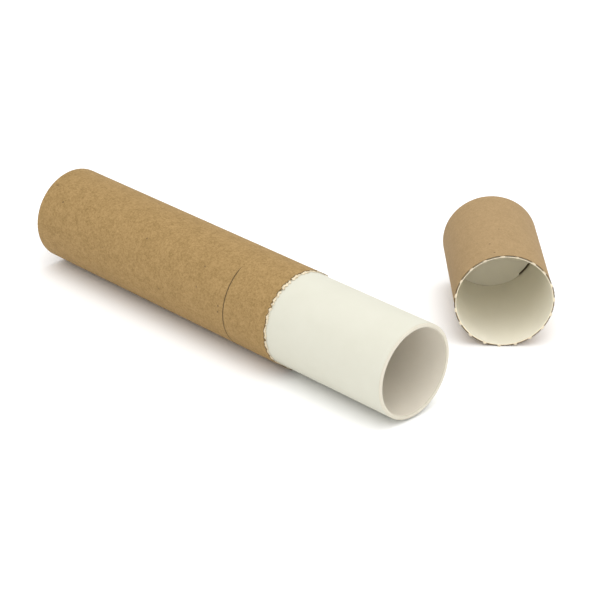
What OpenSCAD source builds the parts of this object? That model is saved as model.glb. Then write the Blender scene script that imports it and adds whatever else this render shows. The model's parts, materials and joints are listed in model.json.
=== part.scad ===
// Paper drawing tube with a torn-off lid, lying on its side beside its lid.
// The outer tube is a thin wall of wound paper plies. It is cut once through wrap and board (the
// seam) and torn off along a perforation (the rim). A thick white sleeve slides inside it and stands
// out as the neck that the lid goes over. Both closed ends are recessed paper cups under a curled edge.
// Millimetres. +X runs along the tube to its mouth, +Z is up, and the floor is Z = 0.

/* [Outer tube] */
// Outer radius of the kraft tube and of its lid
tube_r = 32.5; // [25:0.5:45]
// Closed end of the tube to its torn rim
base_len = 226.7; // [150:0.1:400]
// Closed end of the tube to the cut seam
seam_at = 188.5; // [100:0.1:360]
// Width of the cut at the seam
seam_gap = 0.5; // [0.2:0.1:1]

/* [Plies of the outer wall] */
// Brown kraft wrap
wrap_t = 0.2; // [0.1:0.05:0.4]
// Grey-brown board
board_t = 0.25; // [0.2:0.05:1]
// White liner
liner_t = 0.35; // [0.1:0.05:0.6]

/* [Sleeve] */
// Radial clearance between the sleeve and the white liner
slip = 0.1; // [0.05:0.01:0.2]
// Bore radius of the sleeve
bore_r = 28.9; // [20:0.1:40]
// Length of the sleeve
sleeve_len = 305.3; // [200:0.1:450]
// How far the sleeve's mouth stands out of the torn rim
neck_out = 98.8; // [20:0.1:120]
// Thickness of the sleeve's white outer paper
sleeve_skin_t = 0.15; // [0.1:0.05:0.3]
// Thickness of the sleeve's white inner paper
sleeve_liner_t = 0.2; // [0.1:0.05:0.3]
// Radius that rounds both edges of the mouth
lip_r = 1.0; // [0.3:0.1:1.2]

/* [Lid] */
// Closed end of the lid to its torn rim
lid_len = 98.4; // [60:0.1:150]
// Centre of the lid's mouth along the tube, from the tube's closed end
lid_mouth_x = 299.2; // [200:0.1:400]
// Centre of the lid's mouth sideways from the tube's axis
lid_mouth_y = 116.2; // [80:0.1:250]
// Direction from the lid's closed end to its mouth, about +Z
lid_turn = -44; // [-90:1:0]

/* [Closed ends] */
// Closed end to the inner face of the recessed cup
cup_depth = 9.65; // [5:0.05:15]
// Board thickness of the cup's floor
cup_floor_t = 1.2; // [0.6:0.1:2]
// Board thickness of the cup's flange
cup_flange_t = 1.0; // [0.5:0.1:2]
// Thickness of the white facing and of the kraft backing on the cup's floor
cup_skin_t = 0.2; // [0.1:0.05:0.4]
// Radius of the corner between the cup's floor and its flange
cup_corner_r = 1.2; // [0.8:0.1:2]
// Gap between the cup's facing and the start of the liner
liner_gap = 0.05; // [0:0.05:1]
// Length of the wall's edge that is tucked in behind the flange
tuck_len = 2.6; // [1:0.1:5]

/* [Torn rims] */
// Bridges of the perforation around each rim
nub_count = 19; // [8:1:40]
// Width of the torn stub of a bridge
nub_w = 1.8; // [0.5:0.1:4]
// Height of the stub above the rim
nub_h = 0.9; // [0.3:0.1:2]
// Turn of the tube's stubs about its axis
base_nub_turn = 1.7; // [0:0.1:19]
// Turn of the lid's stubs about its axis
lid_nub_turn = 16.7; // [0:0.1:19]

/* [Hidden] */
wrap_in = tube_r - wrap_t;
board_in = wrap_in - board_t;
wall_in = board_in - liner_t;
sleeve_r = wall_in - slip;
skin_in = sleeve_r - sleeve_skin_t;
liner_out = bore_r + sleeve_liner_t;
ply_t = (skin_in - liner_out) / 3;
mouth_x = base_len + neck_out;
sleeve_x = mouth_x - sleeve_len;
curl_r = board_in - cup_flange_t / 2;     // ring centre of the curled edge
curl_z = tube_r - curl_r;                 // so that the curl just touches the end plane
liner_z = cup_depth + liner_gap;
lid_end_x = lid_mouth_x - lid_len * cos(lid_turn);
lid_end_y = lid_mouth_y - lid_len * sin(lid_turn);
lid_top_y = lid_end_y + curl_z * sin(lid_turn) + curl_r * cos(lid_turn) + curl_z;
shift_x = -mouth_x / 2;
shift_y = -(lid_top_y - tube_r) / 2;
over = 1;                                 // overshoot of cutting shapes
$fn = 96;

kraft = [0.72, 0.58, 0.40];
board = [0.76, 0.68, 0.54];
white = [0.92, 0.91, 0.84];
cream = [0.90, 0.86, 0.74];

// ---- placing: every shape is turned about local Z, from its closed end upwards ----

module in_tube() {
    translate([shift_x, shift_y, tube_r]) rotate([0, 90, 0]) children();
}

module in_lid() {
    translate([shift_x + lid_end_x, shift_y + lid_end_y, tube_r])
        rotate([0, 0, lid_turn]) rotate([0, 90, 0]) children();
}

// ---- shared shapes ----

module ring(r_out, r_in, z0, z1) {
    rotate_extrude() translate([r_in, z0]) square([r_out - r_in, z1 - z0]);
}

// A wall ply: straight wall, half-round curl at the end plane, and the leg tucked back inside
module curled_ply(r_out, r_in, z1) {
    rotate_extrude() union() {
        translate([r_in, curl_z]) square([r_out - r_in, z1 - curl_z]);
        translate([curl_r, curl_z]) difference() {
            circle(r_out - curl_r);
            circle(r_in - curl_r);
            translate([-2 * curl_z, 0]) square([4 * curl_z, 2 * curl_z]);
        }
        translate([2 * curl_r - r_out, curl_z]) square([r_out - r_in, tuck_len]);
    }
}

// Cuts a ply's end back to its rim at z1 between the torn stubs of the perforation's bridges
module torn_rim(z1, turn) {
    difference() {
        children();
        translate([0, 0, z1]) linear_extrude(nub_h + over) difference() {
            circle(tube_r + over);
            for (i = [0 : nub_count - 1])
                rotate(turn + i * 360 / nub_count)
                    translate([0, -nub_w / 2]) square([tube_r + 2 * over, nub_w]);
        }
    }
}

// Recessed cup: floor, flange turned outwards, and the flange's rim rounded inside the curl
module cup() {
    floor_z = cup_depth - cup_skin_t - cup_floor_t;
    top_z = cup_depth - cup_skin_t;
    corner = board_in - cup_corner_r;
    rotate_extrude() union() {
        difference() {
            union() {
                translate([0, floor_z]) square([board_in, cup_floor_t]);
                translate([board_in - cup_flange_t, curl_z]) square([cup_flange_t, top_z - curl_z]);
            }
            translate([corner, top_z - cup_corner_r]) difference() {
                square(cup_corner_r + over);
                circle(cup_corner_r);
            }
        }
        translate([curl_r, curl_z]) circle(cup_flange_t / 2);
    }
}

module cup_facing() {
    translate([0, 0, cup_depth - cup_skin_t]) cylinder(r = board_in - cup_corner_r, h = cup_skin_t);
}

module cup_backing() {
    translate([0, 0, cup_depth - cup_floor_t - 2 * cup_skin_t])
        cylinder(r = board_in - cup_flange_t - cup_corner_r, h = cup_skin_t);
}

// ---- outer tube ----

module base_wrap() {
    color(kraft) in_tube() curled_ply(tube_r, wrap_in, seam_at - seam_gap / 2);
}

module base_board() {
    color(board) in_tube() curled_ply(wrap_in, board_in, seam_at - seam_gap / 2);
}

// The liner stands on the cup and runs on under the seam, so it holds the collar to the base
module base_liner() {
    color(white) in_tube()
        torn_rim(base_len, base_nub_turn) ring(board_in, wall_in, liner_z, base_len + nub_h);
}

module collar_wrap() {
    color(kraft) in_tube() ring(tube_r, wrap_in, seam_at + seam_gap / 2, base_len);
}

module collar_board() {
    color(board) in_tube()
        torn_rim(base_len, base_nub_turn)
            ring(wrap_in, board_in, seam_at + seam_gap / 2, base_len + nub_h);
}

module base_cup() { color(board) in_tube() cup(); }
module base_cup_facing() { color(white) in_tube() cup_facing(); }
module base_cup_backing() { color(kraft) in_tube() cup_backing(); }

// ---- sleeve ----

// The sleeve's whole wall in section, with its mouth rounded on both edges
module sleeve_section() {
    translate([bore_r, 0]) square([sleeve_r - bore_r, sleeve_len - lip_r]);
    translate([bore_r + lip_r, 0]) square([sleeve_r - bore_r - 2 * lip_r, sleeve_len]);
    translate([bore_r + lip_r, sleeve_len - lip_r]) circle(lip_r);
    translate([sleeve_r - lip_r, sleeve_len - lip_r]) circle(lip_r);
}

module sleeve_ply(r_out, r_in) {
    translate([0, 0, sleeve_x]) rotate_extrude() intersection() {
        sleeve_section();
        translate([r_in, 0]) square([r_out - r_in, sleeve_len + over]);
    }
}

module sleeve_skin() {
    color(white) in_tube() ring(sleeve_r, skin_in, sleeve_x, mouth_x - lip_r);
}

module sleeve_ply_outer() { color(cream) in_tube() sleeve_ply(skin_in, skin_in - ply_t); }
module sleeve_ply_middle() { color(cream) in_tube() sleeve_ply(skin_in - ply_t, liner_out + ply_t); }
module sleeve_ply_inner() { color(cream) in_tube() sleeve_ply(liner_out + ply_t, liner_out); }

module sleeve_liner() {
    color(white) in_tube() ring(liner_out, bore_r, sleeve_x, mouth_x - lip_r);
}

// ---- lid ----

module lid_wrap() {
    color(kraft) in_lid() curled_ply(tube_r, wrap_in, lid_len);
}

module lid_board() {
    color(board) in_lid()
        torn_rim(lid_len, lid_nub_turn) curled_ply(wrap_in, board_in, lid_len + nub_h);
}

module lid_liner() {
    color(white) in_lid()
        torn_rim(lid_len, lid_nub_turn) ring(board_in, wall_in, liner_z, lid_len + nub_h);
}

module lid_cup() { color(board) in_lid() cup(); }
module lid_cup_facing() { color(white) in_lid() cup_facing(); }
module lid_cup_backing() { color(kraft) in_lid() cup_backing(); }

// ---- nodes ----

base_wrap();
base_board();
base_liner();
collar_wrap();
collar_board();
base_cup();
base_cup_facing();
base_cup_backing();
sleeve_skin();
sleeve_ply_outer();
sleeve_ply_middle();
sleeve_ply_inner();
sleeve_liner();
lid_wrap();
lid_board();
lid_liner();
lid_cup();
lid_cup_facing();
lid_cup_backing();
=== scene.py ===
"""Looks of the paper drawing tube, its white sleeve and its torn-off lid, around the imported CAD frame.

Every piece is turned about its body's axis from a section, a closed loop of (s, r) points. s runs from the
body's closed end to its mouth, and r is the radius. Angles about the axis are 0 at the side (+Y on the
tube), 90 at the top and 180 at the other side.
"""
import json
import math
import bmesh
import bpy
import numpy as np
from mathutils import Matrix, Vector


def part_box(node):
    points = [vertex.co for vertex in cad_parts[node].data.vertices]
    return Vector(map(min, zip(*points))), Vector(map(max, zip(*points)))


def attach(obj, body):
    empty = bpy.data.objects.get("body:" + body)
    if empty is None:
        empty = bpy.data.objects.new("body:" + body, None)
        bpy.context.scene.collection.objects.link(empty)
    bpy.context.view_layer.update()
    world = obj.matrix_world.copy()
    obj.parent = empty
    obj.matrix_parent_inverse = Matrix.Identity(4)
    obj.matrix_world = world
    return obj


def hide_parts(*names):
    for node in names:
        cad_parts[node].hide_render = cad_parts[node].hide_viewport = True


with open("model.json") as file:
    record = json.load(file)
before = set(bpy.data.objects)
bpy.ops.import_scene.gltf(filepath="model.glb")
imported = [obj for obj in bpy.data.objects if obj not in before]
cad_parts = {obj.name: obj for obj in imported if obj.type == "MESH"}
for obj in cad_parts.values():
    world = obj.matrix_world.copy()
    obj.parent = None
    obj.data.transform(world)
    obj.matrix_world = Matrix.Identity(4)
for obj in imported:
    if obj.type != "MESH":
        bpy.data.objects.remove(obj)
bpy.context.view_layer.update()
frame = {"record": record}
MOUNTS = {m["name"]: m for m in frame["record"]["mounts"]}
MM = 0.001

# ---- driving sizes, as in the CAD ----
WRAP_T = 0.2 * MM            # kraft outside the tube and the lid
BOARD_T = 0.25 * MM          # board ply under it
LINER_T = 0.35 * MM          # white ply inside
LINER_START = 9.7 * MM       # closed end to the liner, just past the recessed cup
SLIP = 0.1 * MM              # gap between that liner and the sleeve
SKIN_T = 0.15 * MM           # white paper outside the sleeve
SLEEVE_LINER_T = 0.2 * MM    # white paper inside it
SLEEVE_PLIES = ("outer", "middle", "inner")
LIP_R = 1.0 * MM             # rounding of the sleeve's mouth
FACING_TOP = 9.65 * MM       # closed end to the top of the paper on the cup's floor
FACING_T = 0.2 * MM          # that paper, and the kraft on the cup's outer side
CUP_FLOOR_T = 1.2 * MM
CUP_FLANGE_T = 1.0 * MM
CUP_CORNER_R = 1.2 * MM      # rounding between the cup's floor and its flange
TUCK_LEN = 2.6 * MM          # length of wall tucked in behind the curl
LID_LEN = 98.4 * MM
LID_BORE_START = 10.2 * MM   # closed end of the lid to the start of its stated bore
NUB_COUNT = 19               # torn bridges round each rim
NUB_H = 0.9 * MM

# ---- mesh density ----
SEGMENTS = 360
RIM_SEGMENTS = 840           # for pieces with a torn rim
ROW_STEP = 9.0 * MM
LEG_STEP = 0.9 * MM          # along the tucked-in wall
RIM_ROWS = np.array([4, 2.5, 1.6, 1.2, 0.9, 0.6, 0.4, 0.2, 0]) * MM      # distances before a rim
CUT_ROWS = np.array([0, 0.2, 0.5, 1.5]) * MM                             # distances after a cut
ARC_POINTS = 9
CUP_RINGS = 24
DISC_RINGS = 30
SHARP_ANGLE = 38.0           # degrees; edges bent more than this are shaded sharp

# ---- marks of tearing, cutting and gluing ----
FRINGE_LONG_AT = 104.0       # degrees; the torn band is longest there
FRINGE_LONG_HALF = 26.0
SEAM_OPEN_AT = 200.0         # degrees; middle of the stretch where the cut seam stands open
SEAM_OPEN_HALF = 78.0
SEAM_SHUT = 0.235 * MM       # by which each edge closes the seam elsewhere
SLIT_HALF = 10.0             # degrees; the cup's corner stands off the wall over twice this
CRACK_FROM_SLIT = 59.0       # degrees from that slit to a faint crack
CRACK_HALF = 24.0
EDGE_REACH = 0.9 * MM        # wall behind the rim that leans out at a stub or between two
RAG_REACH = 1.4 * MM         # wall that the wrap's ragged edge draws with it
STUB_REACH = 1.6 * MM        # wall that the stubs of the inner plies draw with them
TONGUE_ROOT = 6 * MM         # wall that a torn tongue draws with it
FLOOR_DROP = 0.6 * MM        # the lid rests on its splayed edge


# ---- places and radii, from the frame and the driving sizes ----
wrap_low, wrap_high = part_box("base_wrap")
TUBE_R = (wrap_high.z - wrap_low.z) / 2
TUBE_END = Vector((wrap_low.x, (wrap_high.y + wrap_low.y) / 2, (wrap_high.z + wrap_low.z) / 2))


def along_tube(x):
    return x - wrap_low.x


SEAM_LO = along_tube(wrap_high.x)
SEAM_HI, BASE_LEN = (along_tube(corner.x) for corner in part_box("collar_wrap"))
SLEEVE_START, MOUTH = (along_tube(corner.x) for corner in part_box("sleeve_ply_middle"))

WRAP_IN = TUBE_R - WRAP_T
BOARD_IN = WRAP_IN - BOARD_T
WALL_IN = BOARD_IN - LINER_T
SLEEVE_R = WALL_IN - SLIP
SKIN_IN = SLEEVE_R - SKIN_T
BORE_R = MOUNTS["tube_bore"]["dims"]["r_mm"] * MM
SLEEVE_LINER_OUT = BORE_R + SLEEVE_LINER_T
CURL_R = BOARD_IN - CUP_FLANGE_T / 2      # centre of the curled end's round section
CURL_S = TUBE_R - CURL_R
CUP_TOP = FACING_TOP - FACING_T
CUP_BOTTOM = CUP_TOP - CUP_FLOOR_T

LID_BORE_LEN = MOUNTS["lid_bore"]["dims"]["length_mm"] * MM
LID_DIR = Vector(MOUNTS["lid_bore"]["axis"])
LID_END = Vector(MOUNTS["lid_bore"]["pos_m"]) - LID_DIR * (LID_BORE_START + LID_BORE_LEN / 2)


class Turned:
    """A turned body's own frame: where its closed end is and which way its mouth looks."""

    def __init__(self, end, along, body):
        self.end = Vector(end)
        self.along = Vector(along).normalized()
        self.side = Vector((-self.along.y, self.along.x, 0))
        self.up = Vector((0, 0, 1))
        self.body = body

    def points(self, s, angle, r):
        basis = np.array([self.along, self.side, self.up])
        local = np.stack([s, r * np.cos(angle), r * np.sin(angle)], axis=-1)
        return local @ basis + np.array(self.end)


TUBE = Turned(TUBE_END, (1, 0, 0), "base")
SLEEVE = Turned(TUBE_END, (1, 0, 0), "sleeve")
LID = Turned(LID_END, LID_DIR, "lid")


# ---- shape functions ----

def smooth(x):
    """Eased step: 0 below 0, 1 above 1."""
    x = np.clip(x, 0, 1)
    return x * x * (3 - 2 * x)


def wave_sum(angle, seed, low, high, count):
    """A smooth periodic random function of the angle, about -1 to 1."""
    rng = np.random.default_rng(seed)
    total = np.zeros_like(angle)
    for _ in range(count):
        total += np.sin(angle * rng.integers(low, high) + rng.uniform(0, 2 * math.pi))
    deviation, widest = math.sqrt(count / 2), 1.6
    return total / deviation / widest


def degrees_from(angle, at):
    """Distance in degrees between angles in radians and one angle in degrees."""
    return np.abs((np.degrees(angle) - at + 180) % 360 - 180)


def stretch(angle, at, half, fade):
    """1 over a stretch of the turn about one angle, fading to 0 over some degrees at both its ends."""
    return smooth((half + fade / 2 - degrees_from(angle, at)) / fade)


def near_cut(s, cut, reach):
    """1 at a cut, fading to 0 a reach to either side."""
    return smooth(1 - np.abs(s - cut) / reach)


# ---- sections ----

def rows_between(a, b, step=ROW_STEP):
    return np.linspace(a, b, max(2, int(abs(b - a) / step) + 1))


def rim_rows(start, rim):
    """Rows along a wall up to a rim, closer together over its last millimetres."""
    close = rim - RIM_ROWS
    return np.concatenate([rows_between(start, close[0])[:-1], close])


def arc(radius, first, last, center=(CURL_S, CURL_R)):
    """Points of a rounding about its centre, the curl's if none is given. 0 is outwards, 90 to the mouth."""
    angles = np.radians(np.linspace(first, last, ARC_POINTS))
    return [(center[0] + radius * math.sin(t), center[1] + radius * math.cos(t)) for t in angles]


def curled_loop(r_out, r_in, rim):
    """Section of a wall ply with its curled and tucked end, as in the CAD."""
    outer, inner = r_out - CURL_R, r_in - CURL_R
    tuck = CURL_S + TUCK_LEN
    loop = [(s, r_out) for s in rim_rows(CURL_S, rim)[::-1]]
    loop += arc(outer, 0, -180)[1:]
    loop += [(s, CURL_R - outer) for s in rows_between(CURL_S, tuck, LEG_STEP)[1:]]
    loop += [(s, CURL_R - inner) for s in rows_between(tuck, CURL_S, LEG_STEP)]
    loop += arc(inner, -180, 0)[1:]
    loop += [(s, r_in) for s in rim_rows(CURL_S, rim)[1:]]
    return loop


def band_loop(r_out, r_in, first, rim):
    """Section of a plain ring of wall between two ends, with close rows at both."""
    rows = np.concatenate([first + CUT_ROWS, rim_rows(first, rim)[1:]])
    return [(s, r_out) for s in rows[::-1]] + [(s, r_in) for s in rows]


def lip_end(r):
    """Where the sleeve's rounded mouth ends at a radius."""
    past = max(0.0, r - (SLEEVE_R - LIP_R), BORE_R + LIP_R - r)
    return MOUTH - LIP_R + math.sqrt(max(0.0, LIP_R ** 2 - past ** 2))


def ply_loop(r_out, r_in):
    """Section of one board ply of the sleeve, up to the rounded lip."""
    rows = rows_between(SLEEVE_START, MOUTH - LIP_R)
    lip = [(lip_end(r), r) for r in np.linspace(r_out, r_in, ARC_POINTS)]
    return [(s, r_out) for s in rows] + lip + [(s, r_in) for s in rows[::-1]]


def cup_loop():
    """Section of the recessed cup: its floor, and the flange that the wall is curled over."""
    middle = 0.02 * MM
    corner = (CUP_TOP - CUP_CORNER_R, BOARD_IN - CUP_CORNER_R)
    below = [(CUP_BOTTOM, r) for r in np.linspace(middle, BOARD_IN - CUP_FLANGE_T, CUP_RINGS)]
    above = [(CUP_TOP, r) for r in np.linspace(corner[1], middle, CUP_RINGS)[1:]]
    return below + arc(CUP_FLANGE_T / 2, -180, 0) + arc(CUP_CORNER_R, 0, 90, corner) + above


def disc_loop(top, radius):
    """Section of a round sheet of paper glued to the cup."""
    middle = 0.05 * MM
    rings = np.linspace(middle, radius, DISC_RINGS)
    return [(top, r) for r in rings] + [(top - FACING_T, r) for r in rings[::-1]]


# ---- meshes ----

def clean_mesh(name, points, faces, mark):
    """A closed mesh with outward faces, whose point attribute "mark" the materials read."""
    mesh = bpy.data.meshes.new(name)
    mesh.from_pydata(points.tolist(), [], faces.tolist())
    layer = mesh.attributes.new("mark", "FLOAT", "POINT")
    layer.data.foreach_set("value", mark.reshape(-1).astype(np.float32))
    bm = bmesh.new()
    bm.from_mesh(mesh)
    bmesh.ops.recalc_face_normals(bm, faces=bm.faces)
    bm.to_mesh(mesh)
    bm.free()
    mesh.shade_smooth()
    mesh.set_sharp_from_angle(angle=math.radians(SHARP_ANGLE))
    return mesh


def turned_piece(name, turned, loop, node, material, warp=None, marks=None, segments=RIM_SEGMENTS):
    """Revolves a closed loop about the body's axis into a visible piece that stands for a CAD node.

    warp(s, angle, r) gives the moved (s, r), and marks(s, angle, r) how dark or torn each point is."""
    loop = np.array(loop, float)
    rows = len(loop)
    angle = np.linspace(0, 2 * math.pi, segments, endpoint=False)
    s, a = np.meshgrid(loop[:, 0], angle)
    r = np.meshgrid(loop[:, 1], angle)[0]
    mark = marks(s, a, r) if marks else np.zeros_like(s)
    if warp:
        s, r = warp(s, a, r)
    points = turned.points(s, a, r).reshape(-1, 3)
    i, j = np.meshgrid(np.arange(segments), np.arange(rows), indexing="ij")
    i2, j2 = (i + 1) % segments, (j + 1) % rows
    faces = np.stack([i * rows + j, i * rows + j2, i2 * rows + j2, i2 * rows + j], -1).reshape(-1, 4)
    obj = bpy.data.objects.new(name, clean_mesh(name, points, faces, mark))
    obj.data.materials.append(material)
    bpy.context.scene.collection.objects.link(obj)
    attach(obj, turned.body)
    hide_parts(node)


def in_turn(*warps):
    def warp(s, a, r):
        for step in warps:
            s, r = step(s, a, r)
        return s, r
    return warp


def darker_of(first, second):
    return lambda s, a, r: np.maximum(first(s, a, r), second(s, a, r))


# ---- torn rims ----

class Rim:
    """The torn perforation of one rim: where its bridges tore and how ragged the cut between them is.

    turn is the angle of the first stub in degrees, nub_w about half the width of a stub, and rag how ragged
    the wrap's edge is. fringe is how far the inner plies tore long between the stubs (share of a stub's
    height), splay how far the wrap stands off there, and tongues lists (angle, half width, length), the
    first two in degrees."""

    def __init__(self, rim, turn, seed, nub_w, rag, fringe, splay, tongues=()):
        rng = np.random.default_rng(seed)
        self.rim, self.seed = rim, seed
        self.rag_by, self.fringe_by, self.splay, self.tongues = rag, fringe, splay, tongues
        pitch = 2 * math.pi / NUB_COUNT
        self.at = math.radians(turn) + pitch * np.arange(NUB_COUNT) + rng.normal(0, 0.012, NUB_COUNT)
        self.width = rng.uniform(0.7, 1.2, NUB_COUNT) * nub_w
        self.height = rng.uniform(0.55, 1.0, NUB_COUNT) * NUB_H

    def near(self, s, reach):
        """1 at the rim, fading to 0 a reach before it."""
        return smooth(1 - (self.rim - s) / reach)

    def nub(self, angle):
        """(presence of a stub from 0 to 1, its height) at an angle."""
        there, height = np.zeros_like(angle), np.zeros_like(angle)
        for at, width, tall in zip(self.at, self.width, self.height):
            away = np.abs((angle - at + math.pi) % (2 * math.pi) - math.pi) * TUBE_R
            near = smooth(1.55 - away / width)
            height = np.maximum(height, near * tall)
            there = np.maximum(there, near)
        return there, height

    def rag(self, angle, layer):
        """Fine raggedness, a different one for each layer."""
        return wave_sum(angle, self.seed * 10 + layer, 60, 300, 20)

    def slow(self, angle, layer):
        """Coarser raggedness, a few millimetres long."""
        return wave_sum(angle, self.seed * 10 + layer, 14, 75, 14)

    def fringe(self, angle):
        """Height of the torn band between the stubs: higher here, missing there."""
        patchy = np.clip(0.9 + 0.6 * self.slow(angle, 7), 0.15, 1.3)
        longer = 1 + 0.6 * smooth(1.4 - degrees_from(angle, FRINGE_LONG_AT) / FRINGE_LONG_HALF)
        return self.fringe_by * patchy * longer * (1 + 0.3 * self.rag(angle, 8)) * NUB_H

    def tongue(self, angle):
        """Length by which the rim tore further along the sleeve."""
        long = np.zeros_like(angle)
        for at, half, length in self.tongues:
            long = np.maximum(long, length * smooth(1.25 - degrees_from(angle, at) / half))
        return long * (1 + 0.12 * self.rag(angle, 9))


BASE_RIM = Rim(BASE_LEN, turn=6.4, seed=11, nub_w=1.2 * MM, rag=0.62 * MM, fringe=1.0, splay=0.0,
               tongues=((238, 13, 8.5 * MM), (53, 8, 3.0 * MM)))
LID_RIM = Rim(LID_LEN, turn=2.5, seed=23, nub_w=1.15 * MM, rag=0.08 * MM, fringe=0.16, splay=0.42 * MM)


def wrap_warp(rim):
    """Kraft wrap: ragged along the cut, standing off between the stubs, torn back at each stub."""
    trim, torn_back, wander_by = 0.10 * MM, 0.5 * MM, 0.02 * MM

    def warp(s, a, r):
        there, _ = rim.nub(a)
        ragged = rim.rag_by * (0.7 * rim.rag(a, 1) + 1.1 * rim.slow(a, 6))
        shift = ragged - trim - torn_back * there * (1 + 0.5 * rim.rag(a, 2))
        off = rim.splay * (1 - there) * (1 + 0.3 * rim.rag(a, 4)) * rim.near(s, EDGE_REACH)
        wander = wander_by * wave_sum(a + s * 30, rim.seed + 50, 2, 7, 5) * (s > CURL_S)
        drawn = rim.tongue(a) * rim.near(s, TONGUE_ROOT)
        return s + shift * rim.near(s, RAG_REACH) + drawn, r + off + wander
    return warp


def inner_ply_warp(rim, outward, tall, layer, feather=0.0):
    """Board or liner: a torn band between the stubs, standing up and outwards at each of them.

    outward is how far a stub leans out, tall how far this ply follows the rim's height, layer picks its
    raggedness, and feather is the share of the wall's thickness lost at the band's torn edge."""
    uneven = 0.05 * MM

    def warp(s, a, r):
        there, height = rim.nub(a)
        long = np.maximum(height, rim.fringe(a))
        lift = long * tall * (1 + 0.2 * rim.rag(a, layer)) + uneven * rim.rag(a, layer + 1)
        edge = rim.near(s, EDGE_REACH)
        outer_face = r > (WRAP_IN + BOARD_IN) / 2
        thinned = WALL_IN + (r - WALL_IN) * (1 - feather * (1 - there) * edge)
        drawn = 0.9 * rim.tongue(a) * rim.near(s, TONGUE_ROOT)
        return s + lift * rim.near(s, STUB_REACH) + drawn, thinned + there * outward * edge * outer_face
    return warp


def edge_mark(rim, reach):
    """1 on the last bit of a cut edge, over an uneven reach."""
    return lambda s, a, r: rim.near(s, reach * np.clip(0.85 + 0.5 * rim.slow(a, 3), 0.3, 1.2))


def tongue_shade_mark(rim, dark):
    """Painted shade on the torn tongues, for their shaded undersides, only where they are longer than the
    shortest that shows.
    """
    shortest, grown, reach = 3.3 * MM, 2 * MM, 7 * MM
    return lambda s, a, r: dark * smooth((rim.tongue(a) - shortest) / grown) * rim.near(s, reach)


def shaded_board(rim):
    """Painted shade on the board's outer edge between the stubs, in the gap where the wrap stands off from
    it.
    """
    reach = 1.2 * MM

    def mark(s, a, r):
        there, _ = rim.nub(a)
        return (r > (WRAP_IN + BOARD_IN) / 2) * (1 - there) * rim.near(s, reach)
    return mark


def under_seam_mark(s, a, r):
    """Outer face of the tube's liner, which is kraft brown where the seam bares it."""
    torn_end = BASE_LEN - 2 * MM
    return (r > (BOARD_IN + WALL_IN) / 2) * (s < torn_end)


# ---- the cut seam and the curled end ----

def seam_open(a):
    """1 where the seam's cut stands open, at the side and below, and 0 where it has all but closed."""
    return stretch(a, SEAM_OPEN_AT, SEAM_OPEN_HALF, fade=18)


def seam_warp(cut, sign):
    """Closes the cut over part of the turn, and leaves its open stretch a little wavy."""
    reach = 1.5 * MM

    def warp(s, a, r):
        edge_wave = (0.09 + 0.03 * wave_sum(a, seed=5, low=6, high=60, count=10)) * MM
        shut = SEAM_SHUT * (1 - seam_open(a)) + edge_wave * seam_open(a)
        return s + sign * shut * near_cut(s, cut, reach), r
    return warp


def seam_mark(cut, dark=0.95):
    """Darkened edge of the cut, only where it stands open."""
    reach = 0.55 * MM
    return lambda s, a, r: dark * near_cut(s, cut, reach) * seam_open(a)


def pleats(seed):
    """Fine pleats where the wall's edge is curled over and tucked in."""
    depth, ragged = 0.05 * MM, 0.21 * MM
    fade, plain_skin = 1.2 * MM, 0.25 * MM

    def warp(s, a, r):
        curl = smooth(1 - (s - CURL_S * 0.6) / fade) * (r < TUBE_R - plain_skin)
        leg = (s < CURL_S + TUCK_LEN + MM) * (r < CURL_R)
        end = smooth((s - CURL_S) / TUCK_LEN) * leg
        tucked = ragged * wave_sum(a, seed + 1, 4, 60, 12) * end
        return s + tucked, r + depth * wave_sum(a, seed, 50, 110, 10) * np.maximum(curl, leg)
    return warp


def slit(a, at):
    """1 where the recessed end stands off the wall, with abrupt ends."""
    return stretch(a, at, SLIT_HALF, fade=3)


def crack(a, at):
    """1 where the joint between the recessed end and the wall shows as a faint line."""
    return stretch(a, at - CRACK_FROM_SLIT, CRACK_HALF, fade=6) * (0.8 + 0.2 * np.sin(a * 40))


# ---- materials ----

MIX_A, MIX_B, MIX_RESULT = 6, 7, 2      # the colour sockets of Blender's mix node


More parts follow.
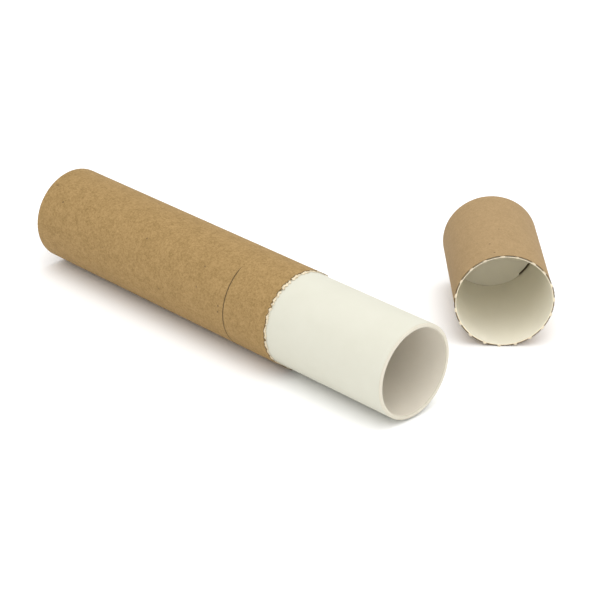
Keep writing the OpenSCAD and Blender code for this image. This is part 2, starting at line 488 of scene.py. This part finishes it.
class Nodes:
    """Short calls for building one material's node tree."""

    def __init__(self, name):
        self.material = bpy.data.materials.new(name)
        self.material.use_nodes = True
        self.tree = self.material.node_tree
        self.shader = self.tree.nodes["Principled BSDF"]
        self.coords = self.add("ShaderNodeTexCoord").outputs["Object"]

    def add(self, kind, **props):
        node = self.tree.nodes.new(kind)
        for key, value in props.items():
            setattr(node, key, value)
        return node

    def link(self, source, target):
        self.tree.links.new(source, target)

    def feed(self, value, socket):
        """Sets a socket to a number or a colour, or links an output to it."""
        if isinstance(value, (int, float)):
            socket.default_value = value
        elif isinstance(value, tuple):
            socket.default_value = (*value, 1)
        else:
            self.link(value, socket)

    def mapped(self, turn=0.0, scale=(1, 1, 1)):
        """Object coordinates turned so that X runs along the body, then stretched."""
        turned = self.add("ShaderNodeMapping", vector_type="POINT")
        turned.inputs["Rotation"].default_value = (0, 0, -turn)
        self.link(self.coords, turned.inputs["Vector"])
        stretched = self.add("ShaderNodeMapping", vector_type="POINT")
        stretched.inputs["Scale"].default_value = scale
        self.link(turned.outputs["Vector"], stretched.inputs["Vector"])
        return stretched.outputs["Vector"]

    def noise(self, vector, scale, detail=4, rough=0.55, distort=0.0):
        node = self.add("ShaderNodeTexNoise")
        node.inputs["Scale"].default_value = scale
        node.inputs["Detail"].default_value = detail
        node.inputs["Roughness"].default_value = rough
        node.inputs["Distortion"].default_value = distort
        self.link(vector, node.inputs["Vector"])
        return node.outputs["Fac"]

    def ramp(self, value, stops):
        """Colour ramp with a (position, colour or grey level) for each stop."""
        node = self.add("ShaderNodeValToRGB")
        while len(node.color_ramp.elements) < len(stops):
            node.color_ramp.elements.new(0.5)
        for element, (at, color) in zip(node.color_ramp.elements, stops):
            element.position = at
            element.color = (*color, 1) if isinstance(color, tuple) else (color, color, color, 1)
        self.link(value, node.inputs["Fac"])
        return node.outputs["Color"]

    def mix(self, factor, a, b):
        node = self.add("ShaderNodeMix", data_type="RGBA", blend_type="MIX")
        self.feed(factor, node.inputs["Factor"])
        self.feed(a, node.inputs[MIX_A])
        self.feed(b, node.inputs[MIX_B])
        return node.outputs[MIX_RESULT]

    def math(self, operation, a, b):
        node = self.add("ShaderNodeMath", operation=operation)
        self.feed(a, node.inputs[0])
        self.feed(b, node.inputs[1])
        return node.outputs[0]

    def blend(self, *parts):
        """Sum of (output, weight) pairs."""
        total = None
        for value, weight in parts:
            share = self.math("MULTIPLY", value, weight)
            total = share if total is None else self.math("ADD", total, share)
        return total

    def bump(self, height, distance, strength):
        node = self.add("ShaderNodeBump")
        node.inputs["Strength"].default_value = strength
        node.inputs["Distance"].default_value = distance
        self.link(height, node.inputs["Height"])
        return node.outputs["Normal"]

    def mark(self):
        return self.add("ShaderNodeAttribute", attribute_name="mark").outputs["Fac"]

    def done(self, color, rough, normal, specular):
        self.link(color, self.shader.inputs["Base Color"])
        self.link(rough, self.shader.inputs["Roughness"])
        self.link(normal, self.shader.inputs["Normal"])
        self.shader.inputs["Specular IOR Level"].default_value = specular
        return self.material


def scaled(color, by):
    """A colour made lighter or darker, at most 1."""
    return tuple(min(1, c * by) for c in color)


def specks(n, vector, color, speck=(0.10, 0.06, 0.03)):
    """A few dark specks of bark, each in a rare cell."""
    cells = n.add("ShaderNodeTexVoronoi", feature="F1")
    cells.inputs["Scale"].default_value = 140
    cells.inputs["Randomness"].default_value = 1.0
    n.link(vector, cells.inputs["Vector"])
    dot = n.ramp(cells.outputs["Distance"], [(0.05, 1.0), (0.14, 0.0)])
    pick = n.add("ShaderNodeSeparateColor")
    n.link(cells.outputs["Color"], pick.inputs["Color"])
    rare = n.ramp(pick.outputs["Red"], [(0.86, 0.0), (0.92, 0.8)])
    return n.mix(n.math("MULTIPLY", dot, rare), color, speck)


def kraft_material(name, turn, light, dark, edge=(0.130, 0.086, 0.036)):
    """Brown kraft paper: cloudy pulp, fine fibres along and across the web, and dark specks."""
    n = Nodes(name)
    plain = n.mapped(turn)
    cloud = n.noise(plain, 160, 5, 0.6)
    grain = n.noise(plain, 620, 8, 0.8)
    fibre = n.noise(n.mapped(turn, (0.25, 1, 1)), 1600, 4, 0.7, 0.6)
    cross = n.noise(n.mapped(turn + 0.9, (0.2, 1, 1)), 1200, 3, 0.7, 0.8)
    fine = n.noise(plain, 1900, 5, 0.7)
    tone = n.blend((cloud, 0.18), (grain, 0.60), (fine, 0.22))
    color = n.ramp(tone, [(0.42, dark), (0.585, light)])
    color = n.mix(n.ramp(fibre, [(0.57, 0.0), (0.72, 0.45)]), color, scaled(light, 1.28))
    color = n.mix(n.ramp(cross, [(0.60, 0.0), (0.75, 0.55)]), color, scaled(dark, 0.62))
    color = specks(n, plain, color)
    # Marked points take the edge colour: partly the dark cut edge, partly painted shade on torn tongues and
    # in the gap where a splayed wrap stands off the board.
    color = n.mix(n.ramp(n.mark(), [(0.15, 0.0), (0.7, 0.92)]), color, edge)
    rough = n.ramp(grain, [(0.3, 0.72), (0.7, 0.92)])
    normal = n.bump(n.math("ADD", grain, fibre), 0.05 * MM, 0.5)
    return n.done(color, rough, normal, specular=0.25)


def white_material(name, turn, light, dark, rough_range=(0.5, 0.7), under=None):
    """Smooth white paper, a little cloudy, with a trace of fibre. Marked points take the under colour."""
    n = Nodes(name)
    cloud = n.noise(n.mapped(turn), 45, 5, 0.6)
    fibre = n.noise(n.mapped(turn, (0.2, 1, 1)), 1300, 4, 0.7, 0.4)
    color = n.ramp(n.blend((cloud, 0.7), (fibre, 0.3)), [(0.35, dark), (0.65, light)])
    if under:
        color = n.mix(n.mark(), color, under)
    rough = n.ramp(fibre, [(0.3, rough_range[0]), (0.7, rough_range[1])])
    normal = n.bump(n.math("ADD", cloud, fibre), 0.03 * MM, 0.4)
    return n.done(color, rough, normal, specular=0.35)


def board_material(name, turn, light, dark, cut_edge_and_shade=(0.10, 0.075, 0.045)):
    """Torn and cut board: loose cream fibres with darker hollows between them. Marked points turn dark
    brown: the cut faces at the seam, and painted shade in the gap behind the wrap, in the cup's slit and on
    torn tongues.
    """
    n = Nodes(name)
    fibre = n.noise(n.mapped(turn, (1, 0.5, 0.5)), 1500, 6, 0.8, 0.5)
    cloud = n.noise(n.mapped(turn), 220, 4, 0.6)
    color = n.ramp(n.blend((fibre, 0.6), (cloud, 0.4)), [(0.34, dark), (0.62, light)])
    color = n.mix(n.ramp(n.mark(), [(0.3, 0.0), (0.8, 0.9)]), color, cut_edge_and_shade)
    rough = n.ramp(fibre, [(0.3, 0.8), (0.7, 0.98)])
    return n.done(color, rough, n.bump(fibre, 0.12 * MM, 0.8), specular=0.2)


def floor_material():
    """Plain pale paper sweep."""
    n = Nodes("floor_paper")
    cloud = n.noise(n.mapped(), 3, 3, 0.5)
    color = n.ramp(cloud, [(0.3, 0.985), (0.7, 0.995)])
    rough = n.ramp(cloud, [(0.3, 0.9), (0.7, 1.0)])
    return n.done(color, rough, n.bump(cloud, 0.01 * MM, 0.1), specular=0.1)


LID_ANGLE = math.atan2(LID_DIR.y, LID_DIR.x)
TORN_ROUGH = (0.6, 0.8)
TUBE_KRAFT = (0.392, 0.255, 0.106), (0.240, 0.150, 0.051)
LID_KRAFT = (0.385, 0.262, 0.130), (0.300, 0.200, 0.093)
KRAFT_TUBE = kraft_material("kraft_tube", 0, *TUBE_KRAFT)
KRAFT_COLLAR = kraft_material("kraft_collar", 0, *TUBE_KRAFT)
KRAFT_LID = kraft_material("kraft_lid", LID_ANGLE, *LID_KRAFT)
BOARD_TUBE = board_material("board_tube", 0, (0.76, 0.66, 0.49), (0.62, 0.52, 0.36))
BOARD_LID = board_material("board_lid", LID_ANGLE, (0.80, 0.72, 0.56), (0.66, 0.57, 0.41))
CUP_BOARD = board_material("cup_board", 0, (0.60, 0.50, 0.36), (0.45, 0.36, 0.24))
# The same white paper is given two levels: the sleeve's outer white darker and the inner whites lighter, as
# painted light that evens out the bright outside and the dim insides of the mouths.
WHITE_SLEEVE = white_material("white_sleeve", 0, (0.610, 0.600, 0.510), (0.588, 0.577, 0.485))
WHITE_INSIDE = white_material("white_inside", 0, (0.755, 0.708, 0.612), (0.730, 0.680, 0.580))
LINER_TUBE = white_material("liner_tube", 0, (0.80, 0.73, 0.60), (0.74, 0.67, 0.54), TORN_ROUGH,
                            under=(0.42, 0.215, 0.045))
LINER_LID = white_material("liner_lid", LID_ANGLE, (0.890, 0.850, 0.725), (0.865, 0.822, 0.690), TORN_ROUGH,
                           under=(0.90, 0.80, 0.62))
SLEEVE_BOARD = board_material("sleeve_board", 0, (0.66, 0.62, 0.52), (0.60, 0.56, 0.46))


# ---- pieces ----

def outer_tube():
    curled = in_turn(seam_warp(SEAM_LO, 1), pleats(6))
    torn_liner = inner_ply_warp(BASE_RIM, outward=0, tall=0.9, layer=5, feather=0.45)
    turned_piece("kraft_wrap_base", TUBE, curled_loop(TUBE_R, WRAP_IN, SEAM_LO), "base_wrap",
                 KRAFT_TUBE, curled, seam_mark(SEAM_LO))
    turned_piece("board_ply_base", TUBE, curled_loop(WRAP_IN, BOARD_IN, SEAM_LO), "base_board",
                 BOARD_TUBE, curled, seam_mark(SEAM_LO, dark=1.0))
    turned_piece("liner_base", TUBE, band_loop(BOARD_IN, WALL_IN, LINER_START, BASE_LEN), "base_liner",
                 LINER_TUBE, torn_liner, under_seam_mark)


def collar():
    seam = seam_warp(SEAM_HI, -1)
    stubs = inner_ply_warp(BASE_RIM, outward=WRAP_T, tall=1.0, layer=3, feather=0.45)
    # The torn rim's dark edge is partly the cut edge's own colour and partly painted shade; the long tongue
    # gets painted shade on both plies.
    torn_edge_and_shade = darker_of(edge_mark(BASE_RIM, 1.4 * MM), tongue_shade_mark(BASE_RIM, dark=0.95))
    turned_piece("kraft_wrap_collar", TUBE, band_loop(TUBE_R, WRAP_IN, SEAM_HI, BASE_LEN), "collar_wrap",
                 KRAFT_COLLAR, in_turn(wrap_warp(BASE_RIM), seam),
                 darker_of(torn_edge_and_shade, seam_mark(SEAM_HI)))
    turned_piece("board_ply_collar", TUBE, band_loop(WRAP_IN, BOARD_IN, SEAM_HI, BASE_LEN), "collar_board",
                 BOARD_TUBE, in_turn(stubs, seam),
                 darker_of(tongue_shade_mark(BASE_RIM, dark=0.7), seam_mark(SEAM_HI, dark=1.0)))


def sleeve():
    def paper(name, node, r_out, r_in, material):
        turned_piece(name, SLEEVE, band_loop(r_out, r_in, SLEEVE_START, MOUTH - LIP_R), node,
                     material, segments=SEGMENTS)
    paper("sleeve_skin_paper", "sleeve_skin", SLEEVE_R, SKIN_IN, WHITE_SLEEVE)
    paper("sleeve_inner_paper", "sleeve_liner", SLEEVE_LINER_OUT, BORE_R, WHITE_INSIDE)
    edges = np.linspace(SKIN_IN, SLEEVE_LINER_OUT, len(SLEEVE_PLIES) + 1)
    for name, r_out, r_in in zip(SLEEVE_PLIES, edges, edges[1:]):
        turned_piece(f"sleeve_board_{name}", SLEEVE, ply_loop(r_out, r_in), f"sleeve_ply_{name}",
                     SLEEVE_BOARD, segments=SEGMENTS)


def lid_wall():
    torn_wrap = wrap_warp(LID_RIM)
    stubs = inner_ply_warp(LID_RIM, outward=0.75 * MM, tall=1.2, layer=3)
    torn_liner = inner_ply_warp(LID_RIM, outward=0, tall=0.7, layer=5)
    # The wrap's darkened edge is partly its dark cut edge and partly painted shade of the gap where it
    # stands off the board; the board's mark is painted shade of that gap.
    turned_piece("kraft_wrap_lid", LID, curled_loop(TUBE_R, WRAP_IN, LID_LEN), "lid_wrap",
                 KRAFT_LID, in_turn(torn_wrap, pleats(16)), edge_mark(LID_RIM, 0.9 * MM))
    turned_piece("board_ply_lid", LID, curled_loop(WRAP_IN, BOARD_IN, LID_LEN), "lid_board",
                 BOARD_LID, in_turn(stubs, pleats(16)), shaded_board(LID_RIM))
    turned_piece("liner_lid", LID, band_loop(BOARD_IN, WALL_IN, LINER_START, LID_LEN), "lid_liner",
                 LINER_LID, torn_liner, edge_mark(LID_RIM, 0.35 * MM))


def cup(turned, prefix, seed, gap_at):
    """The recessed end: its corner stands open on one side, which shows as a dark slit inside the lid."""
    snug, opened, uneven, sag_by = 0.42, 0.8, 0.04, 0.12 * MM
    hair = 1e-6

    def warp(s, a, r):
        corner = (r > BOARD_IN - CUP_CORNER_R - hair) & (s > CUP_TOP - CUP_CORNER_R - hair)
        loose = slit(a, gap_at)
        size = snug + opened * loose + uneven * wave_sum(a, seed, 5, 30, 6)
        corner_s = CUP_TOP - (CUP_TOP - s) * (size + 1.2 * loose)
        corner_r = BOARD_IN - (BOARD_IN - r) * size
        sag = sag_by * wave_sum(r / WALL_IN * 3, seed + 1, 1, 3, 3) * (r < WALL_IN * 0.9)
        return np.where(corner, corner_s, s + sag), np.where(corner, corner_r, r)

    # Painted shade: the board darkens where the corner stands open, as the shade inside the slit.
    def mark(s, a, r):
        corner = (s > CUP_TOP - 0.9 * CUP_CORNER_R) * (r > BOARD_IN - 3 * CUP_CORNER_R)
        return corner * slit(a, gap_at)

    turned_piece(f"{prefix}_cup_board", turned, cup_loop(), f"{prefix}_cup", CUP_BOARD, warp, mark,
                 segments=SEGMENTS)


def wrinkled(radius, seed, grow=None):
    """A glued paper disc: fine wrinkles towards its edge, which may reach out by grow(angle)."""
    depth, still = 0.04 * MM, radius * 0.8

    def warp(s, a, r):
        wrinkle = depth * wave_sum(a, seed, 3, 24, 8) * smooth(r / radius)
        if grow:
            r = r + grow(a) * smooth((r - still) / (radius * 0.2))
        return s + wrinkle, r
    return warp


def facing(turned, prefix, seed, gap_at, material):
    """White paper on the cup's floor. It runs up to the wall, short of it at the slit and the crack."""
    radius = BOARD_IN - CUP_CORNER_R

    def grow(a):
        return CUP_CORNER_R * (0.695 - 1.25 * slit(a, gap_at) - 0.07 * crack(a, gap_at))

    turned_piece(f"{prefix}_facing_paper", turned, disc_loop(FACING_TOP, radius), f"{prefix}_cup_facing",
                 material, wrinkled(radius, seed, grow), segments=SEGMENTS)


def backing(turned, prefix, seed, material):
    """Kraft paper on the cup's outer side."""
    radius = BOARD_IN - CUP_FLANGE_T - CUP_CORNER_R
    turned_piece(f"{prefix}_backing_paper", turned, disc_loop(CUP_BOTTOM, radius), f"{prefix}_cup_backing",
                 material, wrinkled(radius, seed), segments=SEGMENTS)


def closed_end(turned, prefix, seed, gap_at, white, kraft):
    cup(turned, prefix, seed, gap_at)
    facing(turned, prefix, seed + 2, gap_at, white)
    backing(turned, prefix, seed + 3, kraft)


outer_tube()
collar()
sleeve()
lid_wall()
closed_end(TUBE, "base", seed=61, gap_at=90, white=WHITE_INSIDE, kraft=KRAFT_TUBE)
closed_end(LID, "lid", seed=71, gap_at=-37, white=LINER_LID, kraft=KRAFT_LID)


# ---- stage, light and camera ----

FLOOR_HALF, FLOOR_CELLS = 6.0, 24
SENSOR, LENS = 36, 128.28                                           # mm
CAMERA_YAW, CAMERA_PITCH, CAMERA_ROLL = 134.196, 26.204, 1.447      # degrees
CAMERA_AT = (33.186, -26.987, 18.922)                               # in radii, from the tube's closed end
CLIP_NEAR, CLIP_FAR = 0.05, 50


def floor():
    bm = bmesh.new()
    bmesh.ops.create_grid(bm, x_segments=FLOOR_CELLS, y_segments=FLOOR_CELLS, size=FLOOR_HALF)
    mesh = bpy.data.meshes.new("floor")
    bm.to_mesh(mesh)
    bm.free()
    obj = bpy.data.objects.new("floor", mesh)
    bpy.context.scene.collection.objects.link(obj)
    obj.data.materials.append(floor_material())
    obj.location.z = -FLOOR_DROP


def sky(strength):
    world = bpy.data.worlds.new("studio")
    world.use_nodes = True
    background = world.node_tree.nodes["Background"]
    background.inputs["Color"].default_value = (1, 1, 1, 1)
    background.inputs["Strength"].default_value = strength
    bpy.context.scene.world = world


def area_light(name, at, size, power):
    """A soft round light that looks at the middle of the scene."""
    light = bpy.data.lights.new(name, "AREA")
    light.shape = "DISK"
    light.size = size
    light.energy = power
    obj = bpy.data.objects.new(name, light)
    obj.location = at
    obj.rotation_euler = (-Vector(at)).to_track_quat("-Z", "Y").to_euler()
    bpy.context.scene.collection.objects.link(obj)


def camera():
    """Camera at the photograph's viewing angle."""
    yaw, pitch, roll = (math.radians(v) for v in (CAMERA_YAW, CAMERA_PITCH, CAMERA_ROLL))
    forward = Vector((math.cos(pitch) * math.cos(yaw), math.cos(pitch) * math.sin(yaw), -math.sin(pitch)))
    level = forward.cross(Vector((0, 0, 1))).normalized()
    upright = level.cross(forward)
    right = level * math.cos(roll) + upright * math.sin(roll)
    up = upright * math.cos(roll) - level * math.sin(roll)
    data = bpy.data.cameras.new("camera")
    data.sensor_width = SENSOR
    data.lens = LENS
    data.clip_start = CLIP_NEAR
    data.clip_end = CLIP_FAR
    obj = bpy.data.objects.new("camera", data)
    rotation = Matrix((right, up, -forward)).transposed().to_4x4()
    obj.matrix_world = Matrix.Translation(Vector(CAMERA_AT) * TUBE_R + TUBE_END) @ rotation
    bpy.context.scene.collection.objects.link(obj)
    bpy.context.scene.camera = obj


floor()
sky(strength=0.92)
area_light("key_soft", at=(0.7, -0.7, 1.6), size=2.0, power=13)
area_light("top_soft", at=(0.1, 0.3, 1.8), size=2.0, power=11)
camera()
bpy.context.scene.view_settings.view_transform = "Standard"
